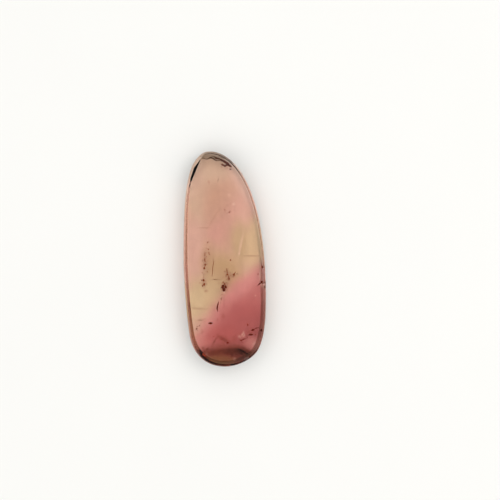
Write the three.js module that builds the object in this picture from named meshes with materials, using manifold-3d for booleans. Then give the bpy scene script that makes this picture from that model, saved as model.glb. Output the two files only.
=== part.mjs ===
// A polished slice of bicoloured tourmaline, lying on its flat underside: one solid crystal, sawn flat on both
// faces, with its rim rounded by hand, a few flats left by the grinding wheel and some small chips.
// Millimetres, +Z up. The origin is the middle of the underside and the narrow end points along +Y.
import * as THREE from "three";
import { mergeVertices, toCreasedNormals } from "three/addons/utils/BufferGeometryUtils.js";
import Module from "manifold-3d";

// Driving dimensions
const THICKNESS = 2.6;
const RIM_POINTS = 160; // stations round the outline
const ARC_STEPS = 6; // stations on each rounded edge

// The outline, clockwise from the narrow tip. Each knot has its place, its heading in degrees from +X, and the
// lengths of its two Bezier handles, before and after it.
const OUTLINE = [
  { at: [-1.6, 12.0], heading: -2, before: 2.8, after: 2.9 }, // narrow tip
  { at: [4.58, -4.4], heading: -90, before: 12.0, after: 1.3 }, // widest on the right
  { at: [3.66, -10.2], heading: -121, before: 1.8, after: 1.1 }, // lower right shoulder
  { at: [0.0, -12.0], heading: -180, before: 1.5, after: 2.3 }, // middle of the broad end
  { at: [-3.95, -8.4], heading: -261, before: 2.1, after: 2.4 }, // lower left shoulder
  { at: [-4.62, 0.0], heading: -270, before: 1.9, after: 7.2 }, // widest on the left
];

// The rim from the top face down: a rounded upper edge, the upright wall, a rounded lower edge and a flat bevel.
// Each reaches in over its face by the inset and takes the height out of the wall; a rounded one turns through
// the sweep. The rim was rounded by hand, so each also carries its face a little along X and Y, turns it by some
// degrees, and lengthens it by so much at both ends.
const TOP_EDGE = { inset: 0.18, height: 0.25, sweep: 90, shift: [0.07, -0.06], turn: 0, longer: 0 };
const LOWER_EDGE = { inset: 0.2, height: 0.6, sweep: 60, shift: [0.03, 0], turn: 0.5, longer: 0.08 };
const BEVEL = { inset: 0.28, height: 0.22, shift: [-0.16, -0.03], turn: 0, longer: -0.12 };

// Flats ground across an edge of the rim. Each leaves its face along the line from one point to the other and
// falls away outwards at its slope in degrees.
const GROUND_FLATS = [
  { face: "underside", from: [-3.97, 8.36], to: [-2.73, 11.29], slope: 48 }, // one across the upper left
  { face: "top", from: [-4.0, 8.0], to: [-3.78, 9.1], slope: 62 }, // three round the upper left
  { face: "top", from: [-3.78, 9.1], to: [-3.4, 10.2], slope: 62 },
  { face: "top", from: [-3.4, 10.2], to: [-2.62, 11.22], slope: 62 },
];

// Shell-shaped chips out of the rim: the middle of the round scoop and its radius.
const CHIPS = [
  { centre: [4.5, -2.85, 2.62], radius: 0.36 },
  { centre: [4.58, -0.95, 2.6], radius: 0.3 },
  { centre: [2.5, -11.25, 2.62], radius: 0.38 },
];

const radians = THREE.MathUtils.degToRad;

function outlineShape() {
  const shape = new THREE.Shape();
  shape.moveTo(...OUTLINE[0].at);
  OUTLINE.forEach((knot, i) => {
    const next = OUTLINE[(i + 1) % OUTLINE.length];
    const leaving = radians(knot.heading);
    const arriving = radians(next.heading);
    shape.bezierCurveTo(
      knot.at[0] + knot.after * Math.cos(leaving),
      knot.at[1] + knot.after * Math.sin(leaving),
      next.at[0] - next.before * Math.cos(arriving),
      next.at[1] - next.before * Math.sin(arriving),
      ...next.at,
    );
  });
  return shape;
}

// Evenly spaced points round the outline, centred on the origin, each with its inward direction.
function outlineStations() {
  const points = outlineShape().getSpacedPoints(RIM_POINTS).slice(0, RIM_POINTS);
  const middle = new THREE.Box2().setFromPoints(points).getCenter(new THREE.Vector2());
  return points.map((point, i) => {
    const before = points[(i + RIM_POINTS - 1) % RIM_POINTS];
    const after = points[(i + 1) % RIM_POINTS];
    const along = after.clone().sub(before).normalize();
    return { at: point.clone().sub(middle), inward: new THREE.Vector2(along.y, -along.x) };
  });
}

// A rounded edge's share of its inset and of its height, from its wall to its face.
function arcShares({ sweep }) {
  const far = radians(sweep);
  return Array.from({ length: ARC_STEPS + 1 }, (_, i) => {
    const angle = (far * i) / ARC_STEPS;
    return { inwards: (1 - Math.cos(angle)) / (1 - Math.cos(far)), along: Math.sin(angle) / Math.sin(far) };
  });
}

// The rim's section from the underside up to the top face, as levels with a height and the shares of the edges
// that carry the outline in to them.
function rimLevels() {
  const wallFoot = BEVEL.height + LOWER_EDGE.height;
  const wallHead = THICKNESS - TOP_EDGE.height;
  const lower = arcShares(LOWER_EDGE).map(({ inwards, along }) => ({
    z: wallFoot - LOWER_EDGE.height * along,
    edges: [[LOWER_EDGE, inwards]],
  }));
  const upper = arcShares(TOP_EDGE).map(({ inwards, along }) => ({
    z: wallHead + TOP_EDGE.height * along,
    edges: [[TOP_EDGE, inwards]],
  }));
  return [{ z: 0, edges: [[LOWER_EDGE, 1], [BEVEL, 1]] }, ...lower.reverse(), ...upper];
}

// The outline's stations carried in to one level.
function ringAt({ z, edges }, stations) {
  const total = (amount) => edges.reduce((sum, [edge, share]) => sum + amount(edge) * share, 0);
  const inset = total((edge) => edge.inset);
  const shift = new THREE.Vector2(total((edge) => edge.shift[0]), total((edge) => edge.shift[1]));
  const turn = radians(total((edge) => edge.turn));
  const halfLength = Math.max(...stations.map(({ at }) => at.y));
  const stretch = 1 + total((edge) => edge.longer) / halfLength;
  const origin = new THREE.Vector2();
  return stations.map(({ at, inward }) => {
    const point = at.clone().addScaledVector(inward, inset).add(shift).rotateAround(origin, turn);
    return new THREE.Vector3(point.x, point.y * stretch, z);
  });
}

// The rounded slab: one ring of points for each level, skinned together and closed by a flat face at each end.
function slabGeometry() {
  const stations = outlineStations();
  const rings = rimLevels().map((level) => ringAt(level, stations));
  const triangles = [];
  for (let level = 0; level < rings.length - 1; level++) {
    for (let i = 0; i < RIM_POINTS; i++) {
      const next = (i + 1) % RIM_POINTS;
      const [a, b] = [rings[level][i], rings[level][next]];
      const [c, d] = [rings[level + 1][next], rings[level + 1][i]];
      triangles.push(a, c, b, a, d, c);
    }
  }
  for (const [ring, faceUp] of [[rings[0], false], [rings[rings.length - 1], true]]) {
    const flat = ring.map((p) => new THREE.Vector2(p.x, p.y));
    for (const [i, j, k] of THREE.ShapeUtils.triangulateShape(flat, [])) {
      const up = THREE.ShapeUtils.area([flat[i], flat[j], flat[k]]) > 0;
      triangles.push(ring[i], ...(up === faceUp ? [ring[j], ring[k]] : [ring[k], ring[j]]));
    }
  }
  return new THREE.BufferGeometry().setFromPoints(triangles);
}

// A block whose one face lies on a flat's plane, so that cutting it away leaves the flat.
function groundAwayGeometry({ face, from, to, slope }) {
  const faceUp = face === "top";
  const height = faceUp ? THICKNESS : 0;
  const start = new THREE.Vector3(...from, height);
  const along = new THREE.Vector3(...to, height).sub(start).normalize();
  const outward = new THREE.Vector3(along.y, -along.x, 0);
  if (outward.dot(start) < 0) outward.negate();
  const fall = radians(slope);
  const away = outward.clone().multiplyScalar(Math.cos(fall)).setZ((faceUp ? -1 : 1) * Math.sin(fall));
  const out = outward.clone().multiplyScalar(Math.sin(fall)).setZ((faceUp ? 1 : -1) * Math.cos(fall));
  const side = new THREE.Vector3().crossVectors(away, out);
  const size = 20;
  const block = new THREE.BoxGeometry(size, size, size);
  block.translate(0, 0, size / 2);
  const place = new THREE.Matrix4().makeBasis(side, away, out).setPosition(start);
  return block.applyMatrix4(place);
}

function chipGeometry({ centre, radius }) {
  return new THREE.IcosahedronGeometry(radius, 3).translate(...centre);
}

const wasm = await Module();
wasm.setup();

function solidFrom(geometry) {
  const bare = geometry.clone();
  bare.deleteAttribute("normal");
  bare.deleteAttribute("uv");
  const merged = mergeVertices(bare, 1e-5);
  return new wasm.Manifold(new wasm.Mesh({
    numProp: 3,
    vertProperties: new Float32Array(merged.attributes.position.array),
    triVerts: new Uint32Array(merged.index.array),
  }));
}

function geometryFrom(solid) {
  const mesh = solid.getMesh();
  const geometry = new THREE.BufferGeometry();
  geometry.setAttribute("position", new THREE.BufferAttribute(mesh.vertProperties, 3));
  geometry.setIndex(new THREE.BufferAttribute(mesh.triVerts, 1));
  return toCreasedNormals(geometry, radians(18));
}

function tourmalineSlice() {
  const cuts = [...GROUND_FLATS.map(groundAwayGeometry), ...CHIPS.map(chipGeometry)];
  const solid = cuts.reduce((stone, cut) => stone.subtract(solidFrom(cut)), solidFrom(slabGeometry()));
  const material = new THREE.MeshStandardMaterial({ color: 0xcd9180, roughness: 0.05, metalness: 0 });
  const mesh = new THREE.Mesh(geometryFrom(solid), material);
  mesh.name = "tourmaline_slice";
  return mesh;
}

const group = new THREE.Group();
group.add(tourmalineSlice());

export default group;
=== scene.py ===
"""A polished slice of two-coloured tourmaline on pale paper, seen from straight above.

The stone is one clear solid with a hand-rounded rim. Its colour zones, growth lines and rusty haze are tints,
and so are the painted shade that darkens its rim and the painted glints of its healed cracks. Its threads,
specks, blotch and dark pocket are small shapes inside it. The shapes in this file are given in millimetres:
each piece is modelled a thousand times its size and brought down to metres at the end. The settings and the
stage are in metres.
"""

import math
import random

import bpy
from bpy.props import FloatProperty, FloatVectorProperty, IntProperty, PointerProperty
from bpy.types import Operator, Panel, PropertyGroup
from mathutils import Euler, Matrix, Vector


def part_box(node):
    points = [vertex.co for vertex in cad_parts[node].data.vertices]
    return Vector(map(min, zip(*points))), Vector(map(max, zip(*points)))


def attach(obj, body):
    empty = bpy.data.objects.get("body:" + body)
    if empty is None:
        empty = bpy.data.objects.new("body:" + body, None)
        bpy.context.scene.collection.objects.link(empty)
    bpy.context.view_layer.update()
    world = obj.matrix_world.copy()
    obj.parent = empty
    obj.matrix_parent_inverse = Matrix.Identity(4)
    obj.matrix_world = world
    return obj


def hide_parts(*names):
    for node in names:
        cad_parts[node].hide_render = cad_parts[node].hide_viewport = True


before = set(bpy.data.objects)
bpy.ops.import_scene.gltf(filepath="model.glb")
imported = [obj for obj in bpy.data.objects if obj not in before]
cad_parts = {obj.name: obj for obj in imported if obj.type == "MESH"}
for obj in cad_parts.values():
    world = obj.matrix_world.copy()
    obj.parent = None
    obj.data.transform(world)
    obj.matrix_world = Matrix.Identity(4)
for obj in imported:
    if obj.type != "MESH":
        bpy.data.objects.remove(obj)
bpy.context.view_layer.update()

bl_info = {
    "name": "Tourmaline slice",
    "version": (1, 0, 0),
    "blender": (4, 5, 0),
    "location": "3D View > Sidebar > Slice",
    "description": "Models a polished two-coloured tourmaline slice with its inclusions, on pale paper",
    "category": "Object",
}

METRES = 0.001  # metres in a millimetre
NODE = "tourmaline_slice"
LOW, HIGH = (Vector(corner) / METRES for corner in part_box(NODE))
THICKNESS = HIGH.z - LOW.z

# The outline, clockwise from the narrow tip: each knot's place, its heading in degrees from +X, and the
# lengths of its two Bezier handles, before and after it.
OUTLINE = (
    ((-1.6, 12.0), -2, 2.8, 2.9),  # narrow tip
    ((4.58, -4.4), -90, 12.0, 1.3),  # widest on the right
    ((3.66, -10.2), -121, 1.8, 1.1),  # lower right shoulder
    ((0.0, -12.0), -180, 1.5, 2.3),  # middle of the broad end
    ((-3.95, -8.4), -261, 2.1, 2.4),  # lower left shoulder
    ((-4.62, 0.0), -270, 1.9, 7.2),  # widest on the left
)
OUTLINE_STEPS = 40  # stations between two knots
# The rim was rounded by hand, so each of its edges carries the face a little along X and Y, turns it by
# some degrees, and lengthens it by so much at both ends.
TOP_SHIFT = (0.07, -0.06, 0.0, 0.0)  # the upper edge
SIDE_SHIFT = (0.03, 0.0, 0.5, 0.08)  # the lower edge
BEVEL_SHIFT = (-0.16, -0.03, 0.0, -0.12)  # the bevel round the underside
SIDE_SWEEP = 60  # degrees that the lower edge turns through before it meets the bevel
CREASE = 20  # degrees between two faces that meet in a sharp edge

# Flats ground across an edge: the height of the face that each leaves, the line where it leaves it, and its
# slope in degrees.
GROUND_FLATS = (
    (0.0, (-3.97, 8.36), (-2.73, 11.29), 48),  # one across the upper left, underneath
    (THICKNESS, (-4.0, 8.0), (-3.78, 9.1), 62),  # three round the upper left, on top
    (THICKNESS, (-3.78, 9.1), (-3.4, 10.2), 62),
    (THICKNESS, (-3.4, 10.2), (-2.62, 11.22), 62),
)

# Shell-shaped chips out of the upper rim: the middle of the scoop and its radius.
CHIPS = (
    ((4.5, -2.85, 2.62), 0.36),
    ((4.58, -0.95, 2.6), 0.3),
    ((2.5, -11.25, 2.62), 0.38),
)

# The colour zones, each laid over the ones before it: the tint's name among the zone colours, the middle of
# an oval, its half width and half height, its turn in degrees, the softness of its border, and how much of
# it shows.
ZONES = (
    ("beige", (-2.8, 8.0), (1.6, 4.5), -8, 0.5, 1),  # left of the narrow end
    ("peach", (-0.2, 5.2), (2.2, 4.6), -6, 0.5, 1),  # middle of the upper half
    ("pale_rose", (2.7, 6.6), (1.3, 3.4), 26, 0.5, 1),  # right of the upper half
    ("straw", (3.6, 1.9), (1.4, 2.9), 12, 0.4, 1),  # right of the middle
    ("tan", (1.7, 1.6), (0.8, 2.6), -4, 0.5, 1),  # strip beside the straw
    ("blush", (-3.4, 0.8), (1.3, 3.6), 0, 0.45, 1),  # left of the middle
    ("umber", (-1.1, 7.4), (0.5, 1.5), 5, 0.8, 0.3),  # dull column in the upper half
    ("pink", (-0.8, 2.8), (1.2, 1.3), 0, 0.7, 0.9),  # middle
    ("pink", (0.6, 4.7), (0.9, 2.1), 32, 0.5, 0.5),  # slanting up from it
    ("beige", (-1.2, 10.3), (2.4, 1.8), 0, 0.5, 0.8),  # narrow end
    ("clear", (1.65, 8.6), (0.6, 2.6), -30, 0.8, 1),  # beside its rim on the right
    ("clear", (-3.0, 9.0), (0.6, 2.0), 15, 0.8, 0.5),  # and on the left
    ("umber", (-1.8, -0.4), (0.7, 1.9), 0, 0.6, 1),  # round the left trail of specks
    ("olive", (0.1, -1.8), (1.8, 2.4), -30, 0.45, 1),  # beside the pink body
    ("umber", (-0.8, -2.1), (1.4, 0.8), -10, 0.6, 0.5),
    ("pale_olive", (-1.5, -4.2), (2.1, 2.2), 10, 0.5, 1),  # left of the pink body
    ("pale_straw", (-3.3, -5.2), (1.1, 2.4), 10, 0.5, 1),  # lower left
    ("rose", (10.1, -13.2), (13.7, 13.7), 0, 0.05, 1),  # everything past the slanting border
    ("rose_body", (3.5, -8.5), (9.0, 4.1), -45, 0.13, 1),
    ("deep_rose", (2.8, -7.7), (3.3, 2.9), 20, 0.45, 1),
    ("deep_rose", (3.7, -4.2), (1.0, 1.4), 0, 0.6, 0.3),
    ("crimson", (-0.1, -8.7), (2.0, 1.1), 0, 0.6, 0.8),
    ("brown", (4.3, -8.6), (0.7, 0.9), 0, 0.7, 0.3),
    ("brown", (0.2, -12.7), (4.8, 3.0), 0, 0.2, 1),  # broad end
    ("rose", (3.1, -9.5), (0.6, 0.7), 20, 0.7, 0.8),  # lighter corner
    ("amber", (-0.7, -11.5), (1.8, 0.6), 0, 0.35, 1),  # window in the broad end
    ("rose_body", (-3.0, -9.2), (0.7, 0.8), 0, 0.6, 0.5),
    ("blush", (-3.2, -7.4), (0.6, 0.7), 0, 0.6, 0.6),  # pale corner of the border
    ("dusk", (3.5, -10.9), (0.5, 1.6), 46, 0.7, 0.55),  # darker corners: painted shade that deepens the rim's dark lines
    ("dusk", (-3.4, -10.5), (0.5, 1.4), -37, 0.7, 0.3),
    ("dusk", (1.75, -11.3), (0.5, 0.35), 0, 0.6, 0.4),
    ("shadow", (-2.08, -10.07), (0.17, 0.13), 0, 0.7, 1),
    ("shadow", (0.3, -10.55), (2.8, 0.32), 0, 0.6, 1),  # dark band above it
    ("shadow", (2.4, -10.6), (1.2, 0.42), 24, 0.7, 1),  # and its deepest place
    ("dusk", (2.0, -10.55), (0.8, 0.22), 22, 0.8, 1),
)

# Fine marks, which go straight through the stone: laid over the zones in the same way.
MARKS = (
    ("clear", (1.78, 1.55), (0.12, 1.2), 12, 0.8, 0.6),  # light streak
    ("olive", (2.02, 1.3), (0.14, 1.3), 12, 0.8, 0.5),  # and the darker one beside it
    ("amber", (3.0, 0.36), (0.75, 0.08), 0, 0.9, 0.35),  # growth line on the right
    ("amber", (-3.1, -5.55), (1.0, 0.08), 3, 0.9, 0.4),  # growth lines on the left
    ("amber", (-2.75, -6.85), (0.5, 0.08), -10, 0.9, 0.4),
    ("amber", (-0.95, -2.3), (0.45, 0.07), 0, 0.9, 0.4),
    ("amber", (-2.3, 3.5), (0.6, 0.07), 0, 0.9, 0.3),  # growth line over the pink
    ("amber", (-1.3, 4.5), (1.1, 0.07), -59, 0.9, 0.22),
    ("amber", (0.2, 5.95), (1.0, 0.07), -30, 0.9, 0.15),
    ("deep_rose", (-0.1, -5.2), (0.1, 1.1), 0, 0.9, 0.35),  # upright growth lines
    ("deep_rose", (0.95, -5.6), (0.12, 1.4), 4, 0.9, 0.25),
    ("deep_rose", (-0.3, -7.2), (0.15, 1.3), -6, 0.9, 0.3),
    ("crimson", (-0.15, -9.0), (0.8, 0.17), 30, 0.8, 1),  # ribbons in the rose
    ("dusk", (-0.1, -9.05), (0.65, 0.1), 30, 0.8, 0.5),
    ("dusk", (-1.18, -9.25), (0.08, 0.45), 30, 0.8, 0.4),
    ("dusk", (0.8, -10.6), (0.09, 0.35), 0, 0.8, 0.7),  # stains in the dark band
    ("dusk", (0.45, -10.2), (0.17, 0.14), 0, 0.8, 0.6),
    # rusty stains round the specks and threads
    ("stain", (-2.26, -0.2), (0.22, 0.75), 0, 0.8, 0.2),
    ("stain", (-2.35, -2.7), (0.25, 0.5), 0, 0.8, 0.4),
    ("stain", (-2.12, -3.59), (0.18, 0.12), 0, 0.8, 0.4),
    ("stain", (0.35, -1.9), (0.28, 0.55), -15, 0.8, 0.3),
    ("stain", (0.95, -1.85), (0.25, 0.22), -30, 0.8, 0.35),
    ("stain", (-0.05, -3.15), (0.36, 0.48), 0, 0.7, 0.55),
    ("stain", (-0.2, -8.95), (0.8, 0.28), 28, 0.8, 0.35),
    ("stain", (1.05, -8.93), (0.2, 0.32), 0, 0.8, 0.25),
    ("stain", (0.6, -10.35), (0.55, 0.32), 15, 0.8, 0.4),
    ("stain", (-0.19, -6.42), (0.22, 0.28), 0, 0.8, 0.25),
    ("stain", (2.95, -8.25), (0.45, 0.4), -30, 0.8, 0.25),
    ("stain", (-1.79, 8.64), (0.09, 0.18), 0, 0.8, 0.35),
    ("stain", (-2.53, -8.2), (0.18, 0.14), -30, 0.8, 0.35),
    ("dusk", (1.1, -10.45), (1.3, 0.32), 8, 0.7, 0.5),  # deepest places of the dark band
    ("dusk", (2.05, -10.48), (0.7, 0.18), 20, 0.7, 0.9),
    # painted glints: lighter spots where healed cracks catch the light
    ("clear", (2.04, -8.55), (0.2, 0.17), 20, 0.5, 1),
    ("clear", (1.66, -8.73), (0.2, 0.1), 30, 0.6, 0.9),
    ("clear", (2.1, -8.25), (0.09, 0.15), 0, 0.7, 0.7),
    ("clear", (3.43, -4.12), (0.1, 0.07), 0, 0.6, 0.8),
    ("clear", (4.27, -2.95), (0.22, 0.26), 0, 0.5, 1),
    ("clear", (4.05, -2.85), (0.12, 0.07), 30, 0.6, 0.6),
    ("clear", (3.95, -1.75), (0.09, 0.5), 4, 0.7, 0.6),
    ("clear", (-0.07, -3.78), (0.1, 0.1), 0, 0.6, 0.9),
    ("clear", (1.08, -11.22), (0.17, 0.09), 10, 0.6, 0.8),
    ("clear", (-2.04, -10.65), (0.14, 0.06), 20, 0.6, 0.6),
    ("clear", (3.25, -9.5), (0.12, 0.3), 30, 0.7, 0.6),
    ("clear", (0.43, 7.2), (0.16, 0.15), 0, 0.7, 0.5),
    ("clear", (1.0, 6.17), (0.15, 0.15), 0, 0.7, 0.9),
    ("clear", (1.62, 0.6), (0.1, 0.12), 0, 0.6, 1),
)

# The place where the zones are read moves by the lean for each millimetre upwards, and noise moves it too.
ZONE_LEAN = (0.12, -0.1, 0.0)
BORDER_WANDER = 1.2

# Where the painted shade on the rim is deepest: middle, half sizes, turn, softness and amount.
RIM_SHADE_PATCHES = (
    ((0.0, -7.0), (7.0, 6.5), 0, 0.5, 1.0),  # the broad half
    ((5.6, 1.0), (1.6, 8.0), 0, 0.5, 0.6),  # the right side
    ((-5.0, 2.0), (1.4, 6.5), 0, 0.5, 0.55),  # the left side
    ((-2.6, 10.8), (2.6, 3.0), 0, 0.4, 0.7),  # the narrow end
)
RIM_SHADE_START, RIM_SHADE_FULL = 0.98, 0.85  # how upright a surface's normal is where the painted shade on the rim begins and is full

# Noise over the whole stone: its scale, how far it is drawn out along Y, and its amount.
MOTTLES = (
    (1.1, 1.0, 0.035),  # clouds
    (2.5, 8.0, 0.03),  # grain along the crystal
)
REFRACTION = 1.63  # index of refraction of tourmaline
SWELL = 0.01  # depth of the polish's gentle swells

# Threads: radius, and the points that each runs through.
RED_THREADS = (
    (0.035, ((-2.23, 0.77, 1.9), (-2.22, 0.5, 1.85), (-2.24, 0.24, 1.8))),
    (0.06, ((-2.23, 0.12, 1.75), (-2.24, -0.1, 1.7), (-2.22, -0.36, 1.65))),
    (0.04, ((-2.2, -0.75, 1.6), (-2.29, -0.95, 1.55), (-2.34, -1.12, 1.5))),
    (
        0.035,
        (
            (-1.25, 0.03, 1.9),
            (-1.24, -0.38, 1.85),
            (-1.31, -0.71, 1.8),
            (-1.36, -1.2, 1.8),
            (-1.4, -1.7, 1.7),
            (-1.44, -1.98, 1.6),
        ),
    ),
    (0.05, ((0.2, -0.98, 1.9), (0.24, -1.3, 1.85), (0.27, -1.7, 1.8))),
    (0.06, ((0.42, -1.85, 1.7), (0.46, -2.1, 1.65), (0.5, -2.38, 1.6))),
    (0.045, ((0.98, -1.72, 1.8), (1.1, -1.6, 1.8), (1.24, -1.42, 1.8))),
    (0.03, ((4.02, 0.2, 1.6), (4.1, -0.7, 1.6), (4.16, -1.6, 1.6), (4.14, -2.3, 1.6))),
    (0.06, ((2.56, -7.2, 1.2), (2.57, -7.4, 1.2), (2.55, -7.58, 1.2))),
    (0.02, ((-0.85, -6.59, 1.5), (-0.8, -6.8, 1.5), (-0.72, -7.04, 1.5))),
)
DARK_THREADS = (
    (0.085, ((-0.7, -4.75, 1.7), (-0.8, -5.2, 1.7), (-0.85, -5.6, 1.65), (-0.79, -5.88, 1.6))),
    (0.07, ((4.18, -2.55, 1.8), (3.92, -2.75, 1.75), (3.68, -2.98, 1.7))),
    (0.035, ((-0.3, -4.2, 1.6), (-0.36, -4.42, 1.6), (-0.4, -4.6, 1.5))),
    (0.04, ((3.28, -7.88, 1.3), (3.55, -7.75, 1.3), (3.86, -7.68, 1.35))),
    (0.045, ((2.4, -8.9, 1.3), (2.1, -9.0, 1.3), (1.84, -9.15, 1.25))),
)
OLIVE_THREADS = (
    (
        0.07,
        (
            (-2.66, 11.36, 1.7),
            (-2.16, 11.21, 1.6),
            (-1.91, 11.22, 1.55),
            (-1.63, 11.34, 1.5),
            (-1.34, 11.27, 1.45),
            (-1.09, 11.1, 1.4),
            (-0.76, 11.02, 1.35),
            (-0.43, 11.14, 1.3),
        ),
    ),
    (
        0.06,
        (
            (-1.5, 11.53, 1.5),
            (-1.17, 11.46, 1.5),
            (-0.93, 11.34, 1.5),
            (-0.68, 11.28, 1.5),
            (-0.4, 11.2, 1.5),
        ),
    ),
    (0.03, ((-0.8, 11.54, 1.7), (-0.35, 11.36, 1.7), (0.08, 11.17, 1.7))),
    (0.025, ((-1.4, -2.32, 1.3), (-1.12, -2.3, 1.3), (-0.86, -2.36, 1.3))),
    (0.02, ((-0.86, 8.6, 1.2), (-0.76, 8.85, 1.2), (-0.72, 9.15, 1.2))),
    (0.018, ((-2.49, -6.92, 1.4), (-2.75, -6.84, 1.4), (-3.0, -6.83, 1.4))),
)

THREAD_TIP = 0.3  # a thread's thickness at its two ends, as a share of its middle's

# Specks: the middle, the three half sizes, and the turn in degrees.
SPECKS = (
    ((-1.93, 1.84, 1.9), (0.06, 0.07, 0.05), 0),
    ((-1.83, 1.08, 1.85), (0.06, 0.08, 0.05), 10),
    ((-1.78, 0.68, 1.8), (0.07, 0.09, 0.05), 20),
    ((-1.72, 0.5, 1.75), (0.05, 0.06, 0.05), 60),
    ((-2.03, 0.25, 1.7), (0.05, 0.05, 0.04), 0),
    ((-2.21, -0.66, 1.65), (0.08, 0.13, 0.06), 0),
    ((-2.31, -1.04, 1.5), (0.11, 0.13, 0.05), 30),
    ((-2.37, -2.38, 1.5), (0.1, 0.14, 0.07), 15),
    ((-2.32, -2.84, 1.45), (0.11, 0.17, 0.06), -8),
    ((-2.5, -3.0, 1.4), (0.07, 0.12, 0.05), 0),
    ((0.64, -0.12, 1.9), (0.08, 0.1, 0.06), 0),
    ((0.27, -1.74, 1.8), (0.12, 0.09, 0.06), 40),
    ((0.47, -2.22, 1.6), (0.08, 0.15, 0.06), -8),
    ((1.0, -1.74, 1.8), (0.11, 0.1, 0.06), 0),
    ((-0.19, -2.6, 1.7), (0.07, 0.1, 0.06), 0),
    ((-0.02, -2.8, 1.65), (0.09, 0.12, 0.07), 30),
    ((1.83, -9.15, 1.3), (0.1, 0.09, 0.06), 0),
    ((0.31, -9.4, 1.2), (0.13, 0.1, 0.07), 0),
    ((0.5, 5.19, 1.6), (0.1, 0.05, 0.04), -10),
    ((0.02, 5.48, 1.6), (0.06, 0.05, 0.04), 0),
    ((3.72, -1.7, 1.7), (0.05, 0.12, 0.05), 0),
)
DARK_SPECKS = (
    ((-0.23, -3.1, 1.55), (0.16, 0.24, 0.13), -20),
    ((0.08, -3.12, 1.6), (0.13, 0.19, 0.1), 25),
    ((-0.1, -3.42, 1.5), (0.17, 0.22, 0.13), 0),
    ((-1.6, -7.18, 1.9), (0.25, 0.12, 0.09), 4),
    ((4.14, -2.58, 1.9), (0.13, 0.17, 0.1), 0),
    ((3.14, -7.96, 1.4), (0.2, 0.11, 0.08), 15),
    ((2.9, -8.48, 1.4), (0.25, 0.1, 0.08), 5),
    ((4.1, -7.98, 1.3), (0.12, 0.16, 0.08), 0),
    ((-2.82, -7.47, 1.7), (0.07, 0.06, 0.05), 0),
    ((-3.17, -7.82, 1.5), (0.11, 0.09, 0.06), 30),
    ((4.22, -0.88, 2.2), (0.08, 0.17, 0.06), 0),
)

# Dust: the middle of a cloud of tiny specks, its half sizes, its turn in degrees, and the number of specks.
DUST_HALF = (0.02, 0.045)  # half size of the smallest and of the largest
DUST_LENGTH = (0.8, 1.8)  # how many times as long as it is wide a speck is, least and most
DUST_TURN = 40  # greatest turn of a speck in degrees
DUST = (
    ((-2.0, 0.9, 1.8), (0.4, 0.9, 0.2), 0, 8),
    ((-2.25, -0.6, 1.6), (0.35, 1.1, 0.2), 0, 12),
    ((-2.3, -2.2, 1.4), (0.5, 1.0, 0.2), -5, 18),
    ((0.3, -1.7, 1.7), (0.6, 1.0, 0.2), 15, 18),
    ((1.0, -1.75, 1.8), (0.4, 0.4, 0.1), 30, 8),
    ((-0.05, -3.0, 1.6), (0.6, 0.9, 0.2), -10, 16),
    ((-0.5, -4.6, 1.6), (0.3, 1.1, 0.2), -15, 10),
    ((-2.8, -7.5, 1.6), (0.8, 0.6, 0.2), 30, 10),
    ((2.5, -8.7, 1.3), (1.1, 0.6, 0.2), 25, 18),
    ((-0.2, -9.2, 1.2), (1.5, 0.7, 0.2), -10, 12),
    ((0.5, -10.35, 1.1), (2.2, 0.35, 0.2), 0, 30),
    ((0.4, 5.3, 1.6), (0.8, 0.5, 0.1), 0, 7),
    ((0.2, 10.6, 1.3), (0.8, 0.5, 0.1), -30, 14),
    ((4.0, -2.6, 1.8), (0.3, 0.5, 0.2), 0, 6),
)

# Films: thin and soft-edged, as the middle, the half width and half height, the turn, and how much each
# covers.
BLOTCH = (
    ((-0.35, 11.08, 1.35), (0.28, 0.13), -20, 0.75),
    ((0.0, 10.9, 1.3), (0.3, 0.16), -35, 0.8),
    ((0.3, 10.68, 1.3), (0.27, 0.19), -45, 0.9),
    ((0.55, 10.45, 1.25), (0.3, 0.13), -30, 0.85),
    ((-0.22, 10.55, 1.3), (0.28, 0.12), -25, 0.75),
    ((0.05, 10.45, 1.3), (0.2, 0.14), 30, 0.8),
    ((0.62, 10.07, 1.3), (0.14, 0.1), 0, 0.6),
    ((-0.9, 11.25, 1.4), (0.45, 0.12), -15, 0.4),
)
DARK_POCKET = (
    ((1.75, -10.22, 1.0), (0.28, 0.1), -25, 0.5),
    ((2.1, -10.42, 1.05), (0.3, 0.13), -32, 0.7),
    ((2.42, -10.62, 0.95), (0.22, 0.08), -35, 0.5),
)
FILM_DEPTH = 0.04  # half the thickness of a film
FILM_TILT = 0.3  # greatest tilt of a film in radians

# The stage, in metres.
PAPER_SIDE = 1.2
PAPER_GAP = 0.03 * METRES  # keeps the paper clear of the underside
# Heights on a unit sphere round the stone: where the room reaches its full light, and where the shade
# overhead begins and where it is complete.
ROOM_TOP = 0.9
SHADE_START, SHADE_FULL = 0.955, 0.985
BOUNCES = 24  # for light that passes through the stone many times
SEE_THROUGH_BOUNCES = 32  # for light that passes through the thinning borders of threads and specks


# Settings


def length(name, description, default):
    """A length that a user may change, given here in millimetres."""
    return FloatProperty(
        name=name,
        description=description,
        default=default * METRES,
        min=0.0,
        precision=5,
        unit="LENGTH",
    )


def tint(name, description, default):
    """A colour that a user may change."""
    return FloatVectorProperty(
        name=name,
        description=description,
        default=default,
        size=3,
        subtype="COLOR",
        max=1.0,
    )


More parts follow.
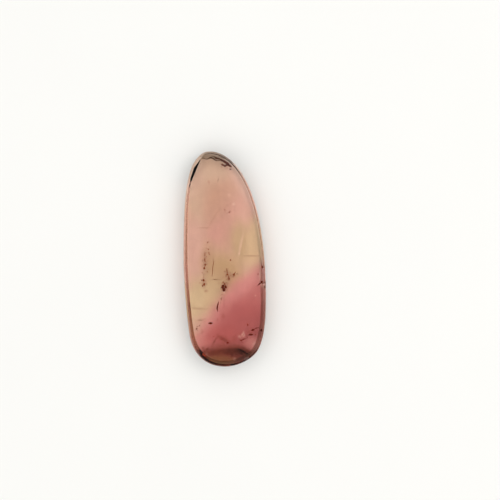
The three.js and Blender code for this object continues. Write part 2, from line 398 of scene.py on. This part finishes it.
class StoneSettings(PropertyGroup):
    """The stone's rounded rim, its clear body and its polish."""

    top_reach: length("Top rounding inwards", "How far the upper edge is rounded in over the face", 0.18)
    top_depth: length("Top rounding downwards", "How far the upper edge is rounded down the side", 0.25)
    side_reach: length("Lower rounding inwards", "How far the lower edge is rounded in", 0.2)
    side_depth: length("Lower rounding upwards", "How far the lower edge is rounded up the side", 0.6)
    bevel_reach: length("Bevel inwards", "How far the bevel goes in over the underside", 0.28)
    bevel_depth: length("Bevel upwards", "How far the bevel rises from the underside", 0.22)
    edge_steps: IntProperty(
        name="Edge steps", description="Facets across each rounded edge", default=12, min=4
    )
    body: tint("Body colour", "Colour that the stone lets through", (0.84, 0.25, 0.0))
    density: FloatProperty(
        name="Body density", description="Absorption in each metre of stone", default=90.0
    )
    wash: tint("Wash", "Tint over all the zones, as each surface takes it", (0.985, 0.893, 0.85))
    # The rim tint is painted shade: it darkens the rim surfaces, browner, to deepen the rim's dark lines.
    skin: tint("Skin", "Tint of the stone's browner skin round the rim", (0.34, 0.25, 0.1))
    polish: FloatProperty(
        name="Polish marks", description="Roughness of the dullest spots", default=0.03, subtype="FACTOR"
    )


class ZoneColours(PropertyGroup):
    """Tints of the colour zones, as each surface of the stone takes them."""

    ground: tint("Ground", "Between the zones", (0.91, 0.89, 0.85))
    beige: tint("Beige", "Left of the narrow end", (0.9, 0.94, 0.89))
    peach: tint("Peach", "Middle of the upper half", (0.86, 0.81, 0.77))
    pale_rose: tint("Pale rose", "Right of the upper half", (0.96, 0.91, 0.91))
    straw: tint("Straw", "Right of the middle", (0.93, 0.97, 0.84))
    tan: tint("Tan", "Strip beside the straw", (0.84, 0.86, 0.73))
    umber: tint("Umber", "Round the left trail of specks, and dull columns", (0.82, 0.78, 0.69))
    blush: tint("Blush", "Left of the middle", (0.93, 0.9, 0.9))
    pink: tint("Pink", "Middle", (0.9, 0.8, 0.81))
    olive: tint("Olive", "Along the slanting border", (0.82, 0.82, 0.67))
    pale_olive: tint("Pale olive", "Left of the slanting border", (0.87, 0.92, 0.78))
    pale_straw: tint("Pale straw", "Lower left", (0.91, 0.98, 0.85))
    rose: tint("Rose", "Past the slanting border", (0.91, 0.72, 0.77))
    rose_body: tint("Rose body", "Body of the pink part", (0.87, 0.62, 0.67))
    deep_rose: tint("Deep rose", "Deepest pink", (0.73, 0.46, 0.5))
    crimson: tint("Crimson", "Lower part of the pink", (0.74, 0.44, 0.47))
    brown: tint("Brown", "Broad end", (0.51, 0.3, 0.29))
    amber: tint("Amber", "Window in the broad end, and growth lines", (0.56, 0.42, 0.31))
    shadow: tint("Shadow", "Dark band at the broad end", (0.42, 0.24, 0.2))
    # Dusk also paints shade at the rim's lower corners.
    dusk: tint("Dusk", "Deepest place of the dark band", (0.22, 0.14, 0.12))
    stain: tint("Stain", "Rusty haze round specks and threads", (0.55, 0.28, 0.24))
    # Clear also paints glints: lighter spots where healed cracks catch the light.
    clear: tint("Clear", "Lighter places, and healed cracks that catch the light", (1.0, 1.0, 1.0))


class InclusionColours(PropertyGroup):
    """Colours of what lies inside the stone."""

    red: tint("Rust", "Threads and specks", (0.36, 0.09, 0.045))
    brown: tint("Umber", "Darkest threads and specks", (0.22, 0.05, 0.02))
    olive: tint("Moss", "Threads at the narrow end", (0.12, 0.07, 0.035))
    purple: tint("Plum", "Blotch at the narrow end", (0.22, 0.09, 0.08))
    black: tint("Dark pocket", "Pocket at the broad end", (0.015, 0.008, 0.006))


class StageSettings(PropertyGroup):
    """Paper, light and camera."""

    paper: tint("Paper", "Colour of the paper", (0.9, 0.895, 0.865))
    lamp_energy: FloatProperty(name="Lamp", description="Energy of the softbox", default=0.1, unit="POWER")
    lamp_size: FloatProperty(
        name="Lamp size", description="Side of the softbox", default=0.2, unit="LENGTH"
    )
    lamp_place: FloatVectorProperty(
        name="Lamp place",
        description="Where the softbox hangs, turned to face the stone",
        default=(0.17, 0.07, 0.26),
        size=3,
        subtype="TRANSLATION",
        precision=5,
    )
    room_low: FloatProperty(
        name="Room light at the sides", description="Strength near the horizon", default=0.45
    )
    room_high: FloatProperty(
        name="Room light overhead", description="Strength overhead", default=1.3
    )
    overhead: FloatProperty(
        name="Shade overhead",
        description="Share of the room light that is left straight above",
        default=0.1,
        subtype="FACTOR",
    )
    eye: FloatVectorProperty(
        name="Camera place",
        description="Where the camera stands, looking straight down",
        default=(0.00282, 0.00101, 0.1065),
        size=3,
        subtype="TRANSLATION",
        precision=5,
    )
    lens: FloatProperty(name="Lens", description="Focal length", default=67.2, unit="CAMERA")


# Modelling helpers


def start_clean():
    """Leaves nothing selected, so that the next operator acts on the new shape alone."""
    if bpy.context.object and bpy.context.object.mode != "OBJECT":
        bpy.ops.object.mode_set(mode="OBJECT")
    bpy.ops.object.select_all(action="DESELECT")


def pick(*objects):
    """Selects these objects alone and makes the first one active."""
    start_clean()
    for obj in objects:
        obj.select_set(True)
    bpy.context.view_layer.objects.active = objects[0]


def pick_faces(obj, wanted):
    """In edit mode, selects the faces for which wanted(face) is true."""
    bpy.ops.mesh.select_mode(type="FACE")
    bpy.ops.mesh.select_all(action="DESELECT")
    bpy.ops.object.mode_set(mode="OBJECT")
    for face in obj.data.polygons:
        face.select = bool(wanted(face))
    bpy.ops.object.mode_set(mode="EDIT")


def finish_piece(obj, name, material):
    """Names a piece, dresses it, brings it down to metres and sets it on the stone's body."""
    obj.name = obj.data.name = name
    obj.data.materials.clear()
    obj.data.materials.append(material)
    pick(obj)
    obj.scale = (METRES,) * 3
    bpy.ops.object.transform_apply(location=True, rotation=True, scale=True)
    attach(obj, "root")


def join_all(shapes):
    """Makes one object of several, with every shape's place in its mesh."""
    pick(*shapes)
    bpy.ops.object.transform_apply(location=True, rotation=True, scale=True)
    bpy.ops.object.join()
    return bpy.context.object


def close_up(obj):
    """Welds doubled points and turns all faces outwards."""
    pick(obj)
    bpy.ops.object.mode_set(mode="EDIT")
    bpy.ops.mesh.select_all(action="SELECT")
    bpy.ops.mesh.remove_doubles(threshold=1e-4)
    bpy.ops.mesh.normals_make_consistent(inside=False)
    bpy.ops.object.mode_set(mode="OBJECT")
    bpy.ops.object.shade_smooth()


# Shader helpers


def new_material(name):
    """A new material, its node tree and its main shader."""
    material = bpy.data.materials.new(name)
    material.use_nodes = True
    nodes = material.node_tree.nodes
    return material, material.node_tree, nodes["Principled BSDF"]


def add_node(tree, kind, inputs=None, **values):
    """Adds a node, sets its properties, and sets or links its inputs, which are given by name or number."""
    node = tree.nodes.new(kind)
    for key, value in values.items():
        setattr(node, key, value)
    for key, value in (inputs or {}).items():
        if isinstance(value, bpy.types.NodeSocket):
            tree.links.new(value, node.inputs[key])
        else:
            node.inputs[key].default_value = value
    return node


def vector_math(tree, operation, first, second):
    """The result of one step of arithmetic on two vectors or colours, each of them a socket or plain."""
    return add_node(tree, "ShaderNodeVectorMath", {0: first, 1: second}, operation=operation).outputs[0]


def times(tree, vector, factor):
    """A vector or colour times a number, each of them a socket or plain."""
    inputs = {0: vector, "Scale": factor}
    return add_node(tree, "ShaderNodeVectorMath", inputs, operation="SCALE").outputs[0]


def number_math(tree, operation, first, second):
    """The result of one step of arithmetic on two numbers, each of them a socket or plain."""
    return add_node(tree, "ShaderNodeMath", {0: first, 1: second}, operation=operation).outputs[0]


def carry_over(tree, value, start, end, low, high, soft=True):
    """Goes from low to high as the value goes from start to end, and stays there beyond them."""
    node = add_node(
        tree,
        "ShaderNodeMapRange",
        {"Value": value, "From Min": start, "From Max": end, "To Min": low, "To Max": high},
        interpolation_type="SMOOTHSTEP" if soft else "LINEAR",
    )
    return node.outputs[0]


def lay_colour(tree, under, over, mask):
    """A plain colour over another one, as much as the mask says."""
    inputs = {"Factor": mask, "A": under, "B": (*over, 1)}
    return add_node(tree, "ShaderNodeMix", inputs, data_type="RGBA").outputs["Result"]


def new_group(name, inputs, outputs):
    """Starts a node group with the named sockets. Gives it, its inputs' sockets and its output node."""
    group = bpy.data.node_groups.new(name, "ShaderNodeTree")
    for label, kind, value in inputs:
        socket = group.interface.new_socket(label, in_out="INPUT", socket_type=kind)
        if value is not None:
            socket.default_value = value
    for label, kind in outputs:
        group.interface.new_socket(label, in_out="OUTPUT", socket_type=kind)
    return group, group.nodes.new("NodeGroupInput").outputs, group.nodes.new("NodeGroupOutput")


def patch_group():
    """A soft-edged oval in the slice's plane, as a mask that is 1 inside it."""
    group, given, out = new_group(
        "Colour patch",
        [
            ("Vector", "NodeSocketVector", None),
            ("Centre", "NodeSocketVector", (0, 0, 0)),
            ("Turn", "NodeSocketFloat", 0.0),
            ("Half size", "NodeSocketVector", (1, 1, 1)),
            ("Softness", "NodeSocketFloat", 0.3),
            ("Amount", "NodeSocketFloat", 1.0),
        ],
        [("Mask", "NodeSocketFloat")],
    )
    turned = add_node(
        group,
        "ShaderNodeVectorRotate",
        {"Vector": given["Vector"], "Center": given["Centre"], "Angle": given["Turn"]},
        rotation_type="Z_AXIS",
    )
    offset = vector_math(group, "SUBTRACT", turned.outputs[0], given["Centre"])
    flat = vector_math(group, "MULTIPLY", offset, (1, 1, 0))
    scaled = vector_math(group, "DIVIDE", flat, given["Half size"])
    reach = add_node(group, "ShaderNodeVectorMath", {0: scaled}, operation="LENGTH").outputs["Value"]
    inner = number_math(group, "SUBTRACT", 1.0, given["Softness"])
    outer = number_math(group, "ADD", 1.0, given["Softness"])
    fade = carry_over(group, reach, outer, inner, 0.0, given["Amount"])
    group.links.new(fade, out.inputs["Mask"])
    return group


def mottle_group():
    """Noise about 1, as a factor for a colour or a strength, with the pattern drawn out along Y."""
    group, given, out = new_group(
        "Mottle",
        [
            ("Vector", "NodeSocketVector", None),
            ("Scale", "NodeSocketFloat", 1.0),
            ("Stretch", "NodeSocketFloat", 1.0),
            ("Amount", "NodeSocketFloat", 0.05),
        ],
        [("Factor", "NodeSocketFloat")],
    )
    drawn = add_node(group, "ShaderNodeCombineXYZ", {"X": 1.0, "Y": given["Stretch"], "Z": 1.0})
    place = vector_math(group, "DIVIDE", given["Vector"], drawn.outputs[0])
    noise = add_node(
        group, "ShaderNodeTexNoise", {"Vector": place, "Scale": given["Scale"], "Detail": 3.0}
    )
    low = number_math(group, "SUBTRACT", 1.0, given["Amount"])
    high = number_math(group, "ADD", 1.0, given["Amount"])
    spread = carry_over(group, noise.outputs["Fac"], 0.25, 0.75, low, high, soft=False)
    group.links.new(spread, out.inputs["Factor"])
    return group


def shared_group(name, maker):
    """The named node group, built on its first use."""
    return bpy.data.node_groups.get(name) or maker()


def use_patch(tree, place, centre, half, turn, softness, amount):
    """The mask of one patch, with its turn in degrees."""
    inputs = {
        "Vector": place,
        "Centre": (*centre, 0),
        "Turn": math.radians(turn),
        "Half size": (*half, 1),
        "Softness": softness,
        "Amount": amount,
    }
    group = shared_group("Colour patch", patch_group)
    return add_node(tree, "ShaderNodeGroup", inputs, node_tree=group).outputs["Mask"]


def use_mottle(tree, place, scale, stretch, amount):
    """The factor of one mottle."""
    inputs = {"Vector": place, "Scale": scale, "Stretch": stretch, "Amount": amount}
    group = shared_group("Mottle", mottle_group)
    return add_node(tree, "ShaderNodeGroup", inputs, node_tree=group).outputs["Factor"]


def in_millimetres(tree):
    """Object coordinates, turned into millimetres."""
    return times(tree, add_node(tree, "ShaderNodeTexCoord").outputs["Object"], 1 / METRES)


def mottled_colour(tree, place, colour, scale, stretch, amount):
    """A plain colour that one mottle makes lighter and darker."""
    flat = add_node(tree, "ShaderNodeRGB")
    flat.outputs[0].default_value = (*colour, 1)
    return times(tree, flat.outputs[0], use_mottle(tree, place, scale, stretch, amount))


def paint_rim_shade(tree, colour, place, skin):
    """The colour with painted shade, a browner and darker tint, laid over the rim, where the surface doesn't
    face up or down.
    """
    facing = add_node(tree, "ShaderNodeNewGeometry")
    height = add_node(tree, "ShaderNodeSeparateXYZ", {0: facing.outputs["True Normal"]})
    upright = add_node(tree, "ShaderNodeMath", {0: height.outputs["Z"]}, operation="ABSOLUTE")
    # painted shade: the rim darkens most inside these patches
    rim_shade_amount = use_patch(tree, place, *RIM_SHADE_PATCHES[0])
    for patch in RIM_SHADE_PATCHES[1:]:
        rim_shade_amount = number_math(tree, "MAXIMUM", rim_shade_amount, use_patch(tree, place, *patch))
    rim = carry_over(tree, upright.outputs[0], RIM_SHADE_START, RIM_SHADE_FULL, 0.0, rim_shade_amount, soft=False)
    return vector_math(tree, "MULTIPLY", colour, lay_colour(tree, (1, 1, 1, 1), skin, rim))


def zone_place(tree, place):
    """Where the zones are read, so that they lean through the stone and their borders wander."""
    height = add_node(tree, "ShaderNodeSeparateXYZ", {0: place}).outputs["Z"]
    leaned = vector_math(tree, "ADD", place, times(tree, ZONE_LEAN, height))
    wander = add_node(tree, "ShaderNodeTexNoise", {"Vector": place, "Scale": 0.45, "Detail": 2.0})
    about = vector_math(tree, "SUBTRACT", wander.outputs["Color"], (0.5, 0.5, 0.5))
    return vector_math(tree, "ADD", leaned, times(tree, about, BORDER_WANDER))


def stone_material(settings, zones):
    """Clear stone whose surfaces carry the tints of the zones, and painted shade over the rim."""
    material, tree, shader = new_material("Tourmaline")
    place = in_millimetres(tree)
    zoned = zone_place(tree, place)
    colour = (*zones.ground, 1)
    for where, (name, *patch) in [(zoned, zone) for zone in ZONES] + [(place, mark) for mark in MARKS]:
        colour = lay_colour(tree, colour, getattr(zones, name), use_patch(tree, where, *patch))
    for mottle in MOTTLES:
        colour = times(tree, colour, use_mottle(tree, place, *mottle))
    colour = vector_math(tree, "MULTIPLY", colour, settings.wash[:])
    tree.links.new(paint_rim_shade(tree, colour, place, settings.skin), shader.inputs["Base Color"])

    dull = add_node(tree, "ShaderNodeTexNoise", {"Vector": place, "Scale": 0.8, "Detail": 4.0})
    rough = carry_over(tree, dull.outputs["Fac"], 0.5, 0.8, 0.0, settings.polish, soft=False)
    tree.links.new(rough, shader.inputs["Roughness"])
    swell = add_node(tree, "ShaderNodeTexNoise", {"Vector": place, "Scale": 0.35, "Detail": 1.0})
    bump = add_node(tree, "ShaderNodeBump", {"Height": swell.outputs["Fac"], "Strength": 0.3})
    bump.inputs["Distance"].default_value = SWELL * METRES
    tree.links.new(bump.outputs[0], shader.inputs["Normal"])

    shader.inputs["IOR"].default_value = REFRACTION
    shader.inputs["Transmission Weight"].default_value = 1.0
    absorb = add_node(tree, "ShaderNodeVolumeAbsorption")
    absorb.inputs["Color"].default_value = (*settings.body, 1)
    absorb.inputs["Density"].default_value = settings.density
    tree.links.new(absorb.outputs[0], tree.nodes["Material Output"].inputs["Volume"])
    return material


def inclusion_material(name, colour, edge):
    """A dull stuff inside the stone that thins out at its borders. It hides all behind it where its cover
    reaches the edge."""
    material, tree, shader = new_material(name)
    place = in_millimetres(tree)
    tone = mottled_colour(tree, place, colour, scale=6.0, stretch=1.5, amount=0.35)
    tree.links.new(tone, shader.inputs["Base Color"])
    shader.inputs["Roughness"].default_value = 0.65
    shader.inputs["Specular IOR Level"].default_value = 0.0
    cover = add_node(tree, "ShaderNodeAttribute", attribute_name="cover").outputs["Fac"]
    breaks = use_mottle(tree, place, scale=5.0, stretch=1.5, amount=0.5)
    alpha = carry_over(tree, number_math(tree, "MULTIPLY", cover, breaks), 0.0, edge, 0.0, 1.0)
    tree.links.new(alpha, shader.inputs["Alpha"])
    return material


# The stone


def outline_loop():
    """The slice's outline as a closed loop of edges, centred on the origin."""
    start_clean()
    bpy.ops.curve.primitive_bezier_circle_add(radius=1, enter_editmode=True)
    curve = bpy.context.object
    while len(curve.data.splines[0].bezier_points) < len(OUTLINE):
        bpy.ops.curve.select_all(action="DESELECT")
        points = curve.data.splines[0].bezier_points
        for point in points[:2]:
            point.select_control_point = True
        bpy.ops.curve.subdivide(number_cuts=1)
    bpy.ops.object.mode_set(mode="OBJECT")
    curve.data.resolution_u = OUTLINE_STEPS
    for point, (at, heading, before, after) in zip(curve.data.splines[0].bezier_points, OUTLINE):
        place = Vector((*at, 0))
        along = Vector((math.cos(math.radians(heading)), math.sin(math.radians(heading)), 0))
        point.handle_left_type = point.handle_right_type = "FREE"
        point.co = place
        point.handle_left = place - along * before
        point.handle_right = place + along * after
    bpy.ops.object.convert(target="MESH")
    loop = bpy.context.object
    xs = [vertex.co.x for vertex in loop.data.vertices]
    ys = [vertex.co.y for vertex in loop.data.vertices]
    loop.location = (-(min(xs) + max(xs)) / 2, -(min(ys) + max(ys)) / 2, 0)
    bpy.ops.object.transform_apply(location=True)
    return loop


def shift_face(shift, share=1.0):
    """Carries, turns and lengthens the selected face by a share of the shift."""
    across, along, turn, longer = (amount * share for amount in shift)
    bpy.ops.transform.translate(value=(across, along, 0))
    bpy.ops.transform.rotate(value=-math.radians(turn), orient_axis="Z", center_override=(0, 0, 0))
    bpy.ops.transform.resize(value=(1, 1 + longer / HIGH.y, 1), center_override=(0, 0, 0))


def round_over(reach, depth, shift, steps, sweep=90):
    """Rounds the edge of the selected flat face by a row of small insets, from the wall inwards, and stops
    when the slope has turned through the sweep."""
    far = math.radians(sweep)
    for step in range(1, steps + 1):
        before, after = (far * (step - i) / steps for i in (1, 0))
        share = (math.cos(before) - math.cos(after)) / (1 - math.cos(far))
        outwards = depth * (math.sin(after) - math.sin(before)) / math.sin(far)
        bpy.ops.mesh.inset(thickness=reach * share, depth=outwards, use_even_offset=True)
        shift_face(shift, share)


def bevel_under(reach, depth, shift):
    """Leaves one flat bevel round the selected face."""
    bpy.ops.mesh.inset(thickness=reach, depth=depth, use_even_offset=True)
    shift_face(shift)


def grind_flat(face_height, start, end, slope):
    """Cuts away all that lies beyond a plane that leaves a face along a line and falls away outwards."""
    along = Vector((end[0] - start[0], end[1] - start[1], 0)).normalized()
    outward = Vector((along.y, -along.x, 0))
    if outward.dot(Vector((*start, 0))) < 0:
        outward.negate()
    face_way = 1 if face_height > THICKNESS / 2 else -1
    tilt = math.radians(slope)
    normal = outward * math.sin(tilt) + Vector((0, 0, face_way * math.cos(tilt)))
    bpy.ops.mesh.select_all(action="SELECT")
    bpy.ops.mesh.bisect(
        plane_co=(*start, face_height), plane_no=normal, use_fill=True, clear_outer=True, threshold=1e-5
    )


def strike_chip(stone, centre, radius):
    """Scoops a shallow shell-shaped chip out of the rim."""
    start_clean()
    bpy.ops.mesh.primitive_ico_sphere_add(subdivisions=4, radius=radius, location=centre)
    scoop = bpy.context.object
    pick(stone)
    cut = stone.modifiers.new("chip", "BOOLEAN")
    cut.operation = "DIFFERENCE"
    cut.solver = "EXACT"
    cut.object = scoop
    bpy.ops.object.modifier_apply(modifier=cut.name)
    bpy.data.objects.remove(scoop)


def build_stone(settings, zones):
    """Extrudes the outline, rounds and bevels its rim, grinds the flats and strikes the chips."""
    sizes = ("top_reach", "top_depth", "side_reach", "side_depth", "bevel_reach", "bevel_depth")
    top_reach, top_depth, side_reach, side_depth, bevel_reach, bevel_depth = (
        getattr(settings, name) / METRES for name in sizes
    )
    stone = outline_loop()
    bpy.ops.object.mode_set(mode="EDIT")
    bpy.ops.mesh.select_all(action="SELECT")
    bpy.ops.mesh.edge_face_add()
    bpy.ops.transform.translate(value=(0, 0, side_depth + bevel_depth))
    wall = THICKNESS - side_depth - bevel_depth - top_depth
    bpy.ops.mesh.extrude_region_move(TRANSFORM_OT_translate={"value": (0, 0, wall)})
    bpy.ops.mesh.select_all(action="SELECT")
    bpy.ops.mesh.normals_make_consistent(inside=False)
    pick_faces(stone, lambda face: face.normal.z > 0.9)
    round_over(top_reach, top_depth, TOP_SHIFT, settings.edge_steps)
    pick_faces(stone, lambda face: face.normal.z < -0.9)
    round_over(side_reach, side_depth, SIDE_SHIFT, settings.edge_steps, SIDE_SWEEP)
    bevel_under(bevel_reach, bevel_depth, BEVEL_SHIFT)
    for flat in GROUND_FLATS:
        grind_flat(*flat)
    bpy.ops.object.mode_set(mode="OBJECT")
    for chip in CHIPS:
        strike_chip(stone, *chip)
    pick(stone)
    bpy.ops.object.shade_smooth_by_angle(angle=math.radians(CREASE))
    weighted = stone.modifiers.new("even normals", "WEIGHTED_NORMAL")
    weighted.keep_sharp = True
    bpy.ops.object.modifier_apply(modifier=weighted.name)
    finish_piece(stone, "polished_slice", stone_material(settings, zones))
    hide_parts(NODE)


# What lies inside it


def set_cover(obj, cover_at):
    """Stores how much of what lies behind it each point of a shape hides."""
    values = obj.data.attributes.new("cover", "FLOAT", "POINT").data
    for value, vertex in zip(values, obj.data.vertices):
        value.value = max(0.0, min(1.0, cover_at(vertex.co)))


def lay_thread(radius, points):
    """One thread through the points, thinning to both ends."""
    start_clean()
    bpy.ops.curve.primitive_bezier_curve_add(enter_editmode=True)
    curve = bpy.context.object
    bpy.ops.curve.select_all(action="SELECT")
    bpy.ops.curve.subdivide(number_cuts=len(points) - 2)
    bpy.ops.object.mode_set(mode="OBJECT")
    last = len(points) - 1
    for i, (point, at) in enumerate(zip(curve.data.splines[0].bezier_points, points)):
        point.co = at
        point.handle_left_type = point.handle_right_type = "AUTO"
        point.radius = THREAD_TIP + (1 - THREAD_TIP) * math.sin(math.pi * i / last)
    curve.data.bevel_depth = radius
    curve.data.bevel_resolution = 2
    curve.data.resolution_u = 8
    curve.data.use_fill_caps = True
    bpy.ops.object.convert(target="MESH")
    thread = bpy.context.object
    close_up(thread)
    set_cover(thread, lambda point: 1.0)
    return thread


def set_lump(centre, half_sizes, turn, tilt=(0, 0), ragged=0.5, cover=1.0, fineness=4):
    """A ragged lump, or a film if its last half size is small, that covers most at its middle."""
    start_clean()
    bpy.ops.mesh.primitive_ico_sphere_add(subdivisions=fineness, radius=1)
    lump = bpy.context.object
    texture = bpy.data.textures.new("ragged", "CLOUDS")
    texture.noise_scale = 0.6
    texture.noise_depth = 3
    lump.location = Vector(centre) * 7  # another part of the noise for each lump
    push = lump.modifiers.new("ragged", "DISPLACE")
    push.texture = texture
    push.texture_coords = "GLOBAL"
    push.strength = ragged
    push.mid_level = 0.6
    bpy.ops.object.modifier_apply(modifier=push.name)
    bpy.data.textures.remove(texture)
    set_cover(lump, lambda point: cover * (1.05 - min(1.0, point.to_2d().length) ** 2))
    lump.location = centre
    lump.scale = half_sizes
    lump.rotation_euler = (*tilt, math.radians(turn))
    bpy.ops.object.shade_smooth()
    return lump


def scatter_dust(chance, centre, spread, turn, count):
    """Tiny specks strewn through a cloud, thickest at its middle."""
    specks = []
    for _ in range(count):
        offset = Vector([chance.gauss(0, 0.5) * half for half in spread])
        offset.rotate(Euler((0, 0, math.radians(turn))))
        half = chance.uniform(*DUST_HALF)
        sizes = (half, half * chance.uniform(*DUST_LENGTH), half)
        own_turn = chance.uniform(-DUST_TURN, DUST_TURN)
        specks.append(set_lump(Vector(centre) + offset, sizes, own_turn, fineness=2))
    return specks


def finish_inclusion(shapes, name, colour, edge):
    """Joins shapes into one piece inside the stone."""
    piece = join_all(shapes)
    finish_piece(piece, name, inclusion_material(name.replace("_", " ").capitalize(), colour, edge))


def build_threads(colours):
    """Lays the threads of each colour."""
    for name, rows, colour in (
        ("rust_threads", RED_THREADS, colours.red),
        ("umber_threads", DARK_THREADS, colours.brown),
        ("moss_threads", OLIVE_THREADS, colours.olive),
    ):
        finish_inclusion([lay_thread(*row) for row in rows], name, colour, edge=0.6)


def build_specks(colours):
    """Sets the specks of each colour, and strews the dust among the rusty ones."""
    chance = random.Random(5)
    dust = [speck for cloud in DUST for speck in scatter_dust(chance, *cloud)]
    for name, rows, more, colour in (
        ("rust_specks", SPECKS, dust, colours.red),
        ("umber_specks", DARK_SPECKS, [], colours.brown),
    ):
        finish_inclusion([set_lump(*row) for row in rows] + more, name, colour, edge=0.35)


def build_films(colours):
    """Lays the films of the blotch and of the dark pocket, each tilted a little."""
    chance = random.Random(11)
    for name, rows, colour, edge in (
        ("plum_blotch", BLOTCH, colours.purple, 0.7),
        ("dark_pocket", DARK_POCKET, colours.black, 0.9),
    ):
        shapes = []
        for centre, half, turn, cover in rows:
            tilt = [chance.uniform(-FILM_TILT, FILM_TILT) for _ in range(2)]
            shapes.append(set_lump(centre, (*half, FILM_DEPTH), turn, tilt, ragged=0.7, cover=cover))
        finish_inclusion(shapes, name, colour, edge)


# The stage


def lay_paper(colour):
    """A wide sheet of pale paper just under the stone."""
    start_clean()
    bpy.ops.mesh.primitive_plane_add(size=PAPER_SIDE, location=(0, 0, -PAPER_GAP))
    paper = bpy.context.object
    paper.name = "paper"
    material, tree, shader = new_material("Paper")
    tone = mottled_colour(tree, in_millimetres(tree), colour, scale=0.05, stretch=1.0, amount=0.006)
    tree.links.new(tone, shader.inputs["Base Color"])
    shader.inputs["Roughness"].default_value = 0.9
    shader.inputs["Specular IOR Level"].default_value = 0.2
    paper.data.materials.append(material)


def light_room(settings):
    """A soft white room, lighter towards the ceiling but shaded straight above, where the camera is."""
    world = bpy.data.worlds.new("Soft room")
    bpy.context.scene.world = world
    world.use_nodes = True
    tree = world.node_tree
    background = tree.nodes["Background"]
    background.inputs["Color"].default_value = (1, 1, 1, 1)
    place = add_node(tree, "ShaderNodeTexCoord")
    height = add_node(tree, "ShaderNodeSeparateXYZ", {0: place.outputs["Generated"]}).outputs["Z"]
    rise = carry_over(tree, height, 0.0, ROOM_TOP, settings.room_low, settings.room_high)
    shade = carry_over(tree, height, SHADE_START, SHADE_FULL, 1.0, settings.overhead)
    tree.links.new(number_math(tree, "MULTIPLY", rise, shade), background.inputs["Strength"])


def hang_lamp(settings):
    """A square softbox to the right of the stone, turned to face it."""
    light = bpy.data.lights.new("Softbox", "AREA")
    light.shape = "SQUARE"
    light.size = settings.lamp_size
    light.energy = settings.lamp_energy
    lamp = bpy.data.objects.new("Softbox", light)
    bpy.context.scene.collection.objects.link(lamp)
    lamp.location = settings.lamp_place
    lamp.rotation_euler = (-lamp.location).to_track_quat("-Z", "Y").to_euler()


def set_camera(settings):
    """A camera that looks straight down, and what the clear stone needs of the renderer."""
    camera = bpy.data.cameras.new("Camera")
    camera.lens = settings.lens
    camera.clip_start = 0.001
    eye = bpy.data.objects.new("Camera", camera)
    scene = bpy.context.scene
    scene.collection.objects.link(eye)
    eye.location = settings.eye
    scene.camera = eye
    scene.view_settings.view_transform = "Standard"
    scene.cycles.blur_glossy = 0.0  # keeps the light that comes through the stone as bright as it is
    scene.cycles.max_bounces = BOUNCES
    scene.cycles.transmission_bounces = BOUNCES
    scene.cycles.transparent_max_bounces = SEE_THROUGH_BOUNCES


def build_stage(settings):
    """Paper, light and camera."""
    lay_paper(settings.paper)
    light_room(settings)
    hang_lamp(settings)
    set_camera(settings)


# Operators, panel and registration


class SLICE_OT_stone(Operator):
    """Model the polished stone with its rounded rim, ground flats and chips"""

    bl_idname = "slice.stone"
    bl_label = "Polished stone"

    def execute(self, context):
        build_stone(context.scene.slice_stone, context.scene.slice_zones)
        return {"FINISHED"}


class SLICE_OT_threads(Operator):
    """Model the threads inside the stone"""

    bl_idname = "slice.threads"
    bl_label = "Threads"

    def execute(self, context):
        build_threads(context.scene.slice_inclusions)
        return {"FINISHED"}


class SLICE_OT_specks(Operator):
    """Model the specks inside the stone"""

    bl_idname = "slice.specks"
    bl_label = "Specks"

    def execute(self, context):
        build_specks(context.scene.slice_inclusions)
        return {"FINISHED"}


class SLICE_OT_films(Operator):
    """Model the blotch and the dark pocket inside the stone"""

    bl_idname = "slice.films"
    bl_label = "Blotch and pocket"

    def execute(self, context):
        build_films(context.scene.slice_inclusions)
        return {"FINISHED"}


class SLICE_OT_stage(Operator):
    """Lay the paper and set up the light and the camera"""

    bl_idname = "slice.stage"
    bl_label = "Paper, light and camera"

    def execute(self, context):
        build_stage(context.scene.slice_stage)
        return {"FINISHED"}


class VIEW3D_PT_slice(Panel):
    """Lists the slice's settings and operators"""

    bl_label = "Tourmaline slice"
    bl_space_type = "VIEW_3D"
    bl_region_type = "UI"
    bl_category = "Slice"

    def draw(self, context):
        for settings, operators in (
            (context.scene.slice_stone, ("slice.stone",)),
            (context.scene.slice_zones, ()),
            (context.scene.slice_inclusions, ("slice.threads", "slice.specks", "slice.films")),
            (context.scene.slice_stage, ("slice.stage",)),
        ):
            box = self.layout.box()
            for name in settings.__annotations__:
                box.prop(settings, name)
            for operator in operators:
                box.operator(operator)


SETTINGS = {
    "slice_stone": StoneSettings,
    "slice_zones": ZoneColours,
    "slice_inclusions": InclusionColours,
    "slice_stage": StageSettings,
}
CLASSES = (
    *SETTINGS.values(),
    SLICE_OT_stone,
    SLICE_OT_threads,
    SLICE_OT_specks,
    SLICE_OT_films,
    SLICE_OT_stage,
    VIEW3D_PT_slice,
)


def register():
    for cls in CLASSES:
        bpy.utils.register_class(cls)
    for name, cls in SETTINGS.items():
        setattr(bpy.types.Scene, name, PointerProperty(type=cls))


def unregister():
    for name in SETTINGS:
        delattr(bpy.types.Scene, name)
    for cls in reversed(CLASSES):
        bpy.utils.unregister_class(cls)


def main():
    """Builds the scene."""
    register()
    bpy.ops.slice.stage()
    bpy.ops.slice.stone()
    bpy.ops.slice.threads()
    bpy.ops.slice.specks()
    bpy.ops.slice.films()


if __name__ == "__main__":
    main()
